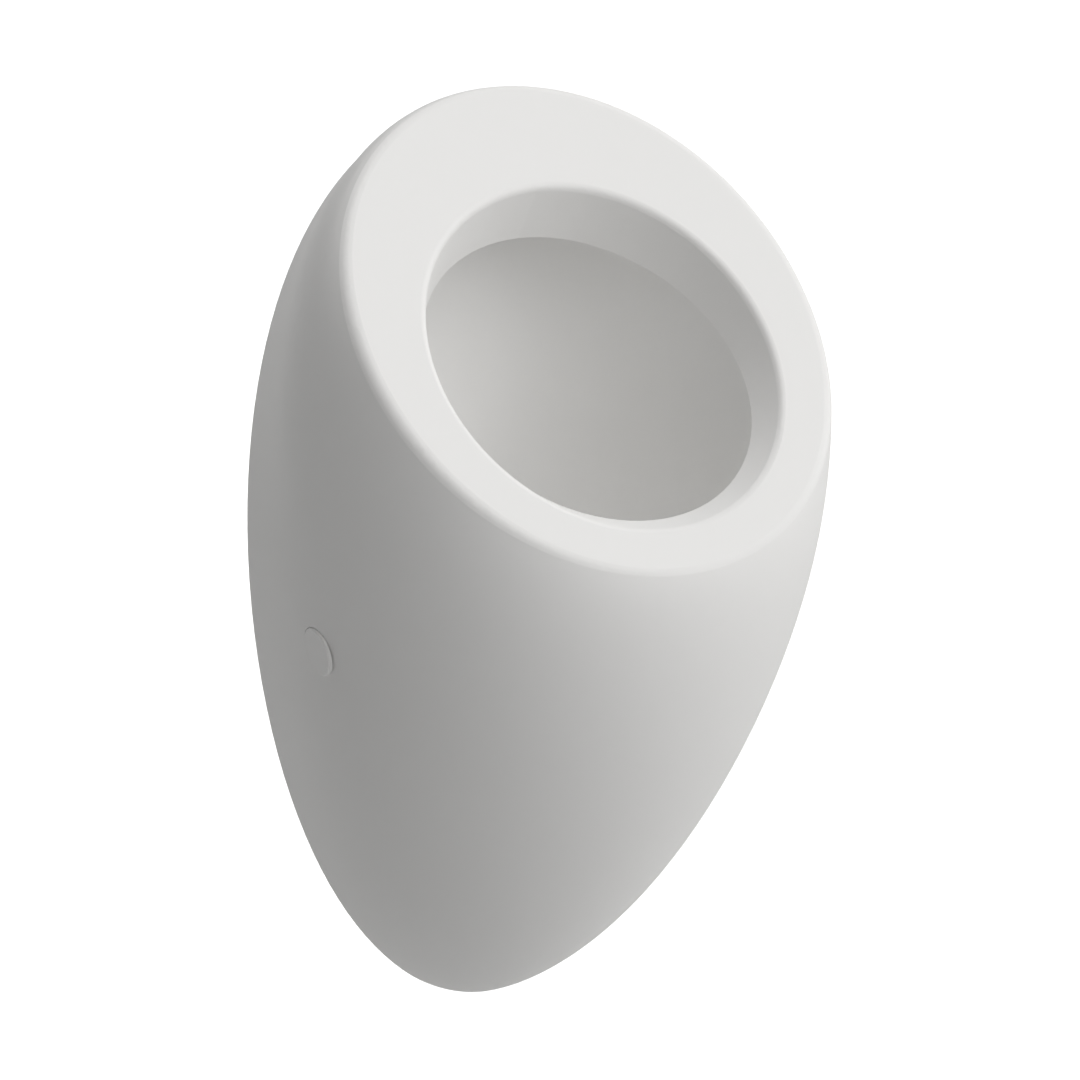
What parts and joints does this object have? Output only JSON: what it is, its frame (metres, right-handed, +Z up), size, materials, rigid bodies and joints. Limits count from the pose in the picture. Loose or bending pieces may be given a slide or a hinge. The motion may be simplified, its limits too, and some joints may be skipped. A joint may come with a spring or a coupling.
{
  "type": "wall hung urinal",
  "caption": "Egg-shaped wall hung ceramic urinal with a slanted round mouth, concealed wall fixings, rear flush inlet and an odour trap inside the shell.",
  "frame": {"origin": "centre of the waste outlet pipe on the wall plane", "axes": "+X to the right of a person facing the wall, +Y into the wall along the waste outlet, +Z up"},
  "size_m": [0.3236, 0.3192, 0.5663],
  "materials": {
    "glazed_ceramic": "satin white glaze",
    "cap_plastic": "white moulded plastic, satin",
    "white_plastic": "white moulded plastic",
    "grey_plastic": "grey pipe plastic",
    "black_rubber": "black rubber",
    "chromed_brass": "polished chrome on brass",
    "stainless_steel": "brushed stainless steel",
    "zinc_steel": "bright zinc plated steel"
  },
  "bodies": {
    "body": {"ceramic_body": "glazed_ceramic", "left_screw_sleeve": "white_plastic", "right_screw_sleeve": "white_plastic", "left_clamp_screw": "zinc_steel", "right_clamp_screw": "zinc_steel", "left_clamp_nut": "zinc_steel", "right_clamp_nut": "zinc_steel", "left_wall_bracket": "stainless_steel", "right_wall_bracket": "stainless_steel", "wall_screws": "zinc_steel", "wall_screw_washers": "zinc_steel", "flush_pipe": "chromed_brass", "inlet_seal": "black_rubber", "spreader": "chromed_brass", "spreader_gasket": "black_rubber", "spreader_nut": "chromed_brass", "waste_flange": "chromed_brass", "flange_gasket": "black_rubber", "underside_gasket": "black_rubber", "waste_backnut": "grey_plastic", "trap_body": "grey_plastic", "trap_cup": "grey_plastic", "cup_seal": "black_rubber", "outlet_pipe": "grey_plastic", "outlet_seal": "black_rubber", "outlet_union_nut": "grey_plastic"},
    "left_cap": {"left_side_cap": "cap_plastic"},
    "right_cap": {"right_side_cap": "cap_plastic"},
    "trap_insert_body": {"trap_insert": "white_plastic", "insert_seal": "black_rubber"},
    "strainer_body": {"strainer": "stainless_steel"}
  },
  "joints": [
    {"name": "left_cap_pull", "type": "slide", "parent": "body", "child": "left_cap", "axis": [-0.9832, 0.0258, -0.1805], "range_m": [0, 0.03]},
    {"name": "right_cap_pull", "type": "slide", "parent": "body", "child": "right_cap", "axis": [0.9832, 0.0258, -0.1805], "range_m": [0, 0.03]},
    {"name": "trap_insert_lift", "type": "slide", "parent": "body", "child": "trap_insert_body", "axis": [0, 0, 1], "range_m": [0, 0.11]},
    {"name": "strainer_lift", "type": "slide", "parent": "trap_insert_body", "child": "strainer_body", "axis": [0, 0, 1], "range_m": [0, 0.06]}
  ]
}
